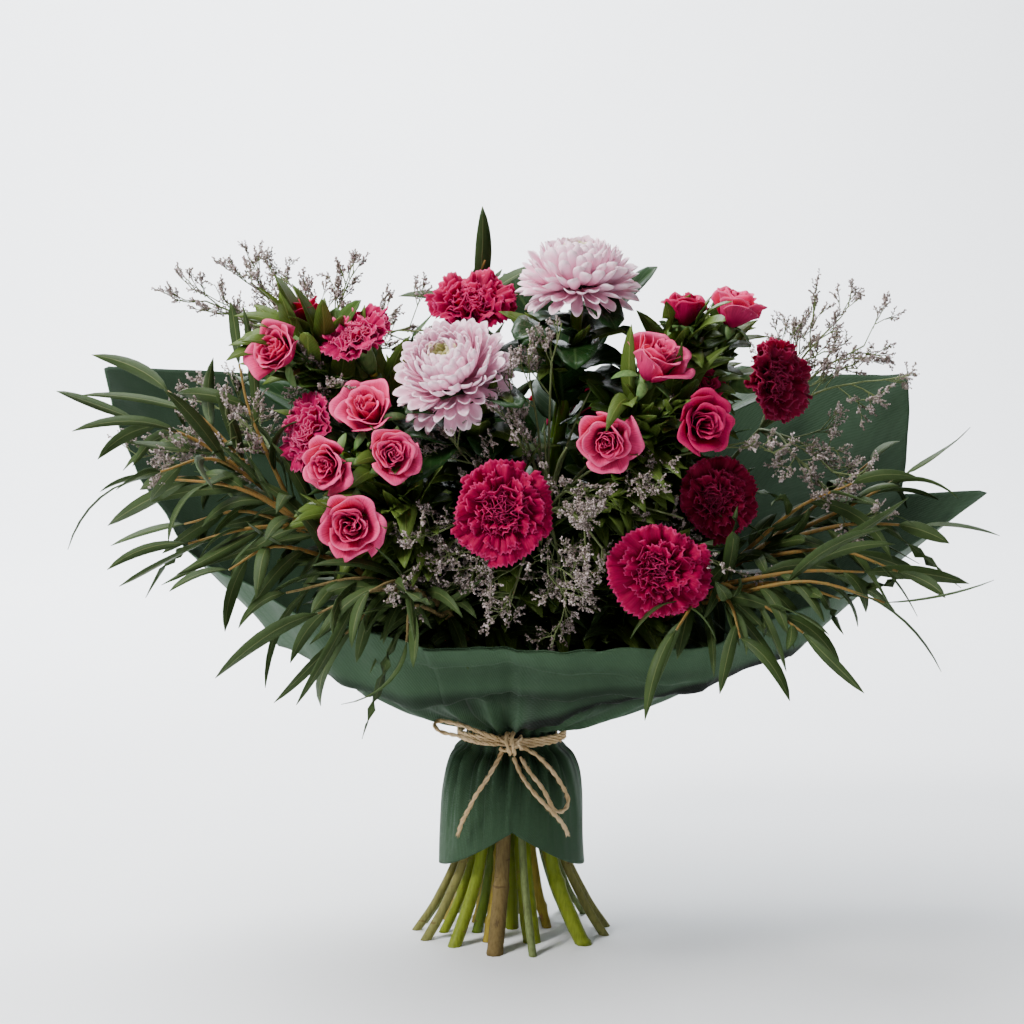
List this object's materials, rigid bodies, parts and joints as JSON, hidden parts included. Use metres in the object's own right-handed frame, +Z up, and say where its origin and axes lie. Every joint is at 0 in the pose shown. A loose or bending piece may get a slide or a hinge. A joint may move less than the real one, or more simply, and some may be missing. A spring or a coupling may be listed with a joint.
{
  "type": "bunch of carnations",
  "caption": "Hand-tied bunch of carnations with chrysanthemums, spray roses and willow-leaved foliage in a green paper wrap tied with twine; it stands on its splayed cut stems.",
  "frame": {"origin": "centre of the cut end of the centre stem, on the plane that the cut stems stand on", "axes": "+Z up through the tie, -Y towards the front of the bunch, +X to the right seen from the front"},
  "size_m": [0.54, 0.3411, 0.4404],
  "materials": {
    "carnation_petals": "matte",
    "rose_petals": "matte",
    "chrysanthemum_petals": "matte",
    "green_stems": "satin",
    "woody_stem": "matte",
    "willow_leaves": "satin",
    "broad_leaves": "satin",
    "limonium": "matte",
    "wrap_paper": "matte",
    "inner_tie": "matte",
    "jute_twine": "matte"
  },
  "bodies": {
    "root": {"broadleaf_left": "broad_leaves", "broadleaf_right": "broad_leaves", "broadleaf_top": "broad_leaves", "carnation_back_head": "carnation_petals", "carnation_back_stem": "green_stems", "carnation_far_right_head": "carnation_petals", "carnation_far_right_stem": "green_stems", "carnation_front_head": "carnation_petals", "carnation_front_right_head": "carnation_petals", "carnation_front_right_stem": "green_stems", "carnation_front_stem": "green_stems", "carnation_left_head": "carnation_petals", "carnation_left_stem": "green_stems", "carnation_right_head": "carnation_petals", "carnation_right_stem": "green_stems", "carnation_top_head": "carnation_petals", "carnation_top_stem": "green_stems", "carnation_upper_left_head": "carnation_petals", "carnation_upper_left_stem": "green_stems", "chrysanthemum_left_head": "chrysanthemum_petals", "chrysanthemum_left_stem": "green_stems", "chrysanthemum_top_head": "chrysanthemum_petals", "chrysanthemum_top_stem": "green_stems", "inner_tie": "inner_tie", "limonium_left": "limonium", "limonium_middle": "limonium", "limonium_right": "limonium", "limonium_upper_left": "limonium", "rose_back_head_inner": "rose_petals", "rose_back_head_outer": "rose_petals", "rose_back_stem": "green_stems", "rose_left_head_inner": "rose_petals", "rose_left_head_lower": "rose_petals", "rose_left_head_outer": "rose_petals", "rose_left_head_upper": "rose_petals", "rose_left_stem": "green_stems", "rose_right_head_back": "rose_petals", "rose_right_head_inner": "rose_petals", "rose_right_head_outer": "rose_petals", "rose_right_head_upper": "rose_petals", "rose_right_stem": "green_stems", "rose_upper_left_head_outer": "rose_petals", "rose_upper_left_stem": "green_stems", "rose_upper_right_head_outer": "rose_petals", "rose_upper_right_stem": "green_stems", "twine_band": "jute_twine", "twine_knot": "jute_twine", "twine_loop_left": "jute_twine", "twine_loop_right": "jute_twine", "twine_tail_left": "jute_twine", "twine_tail_right": "jute_twine", "willow_front": "woody_stem", "willow_left": "willow_leaves", "willow_low_right": "willow_leaves", "willow_right": "willow_leaves", "willow_top": "willow_leaves", "willow_upper_left": "willow_leaves", "wrap_sheet_left": "wrap_paper", "wrap_sheet_right": "wrap_paper"}
  },
  "joints": []
}
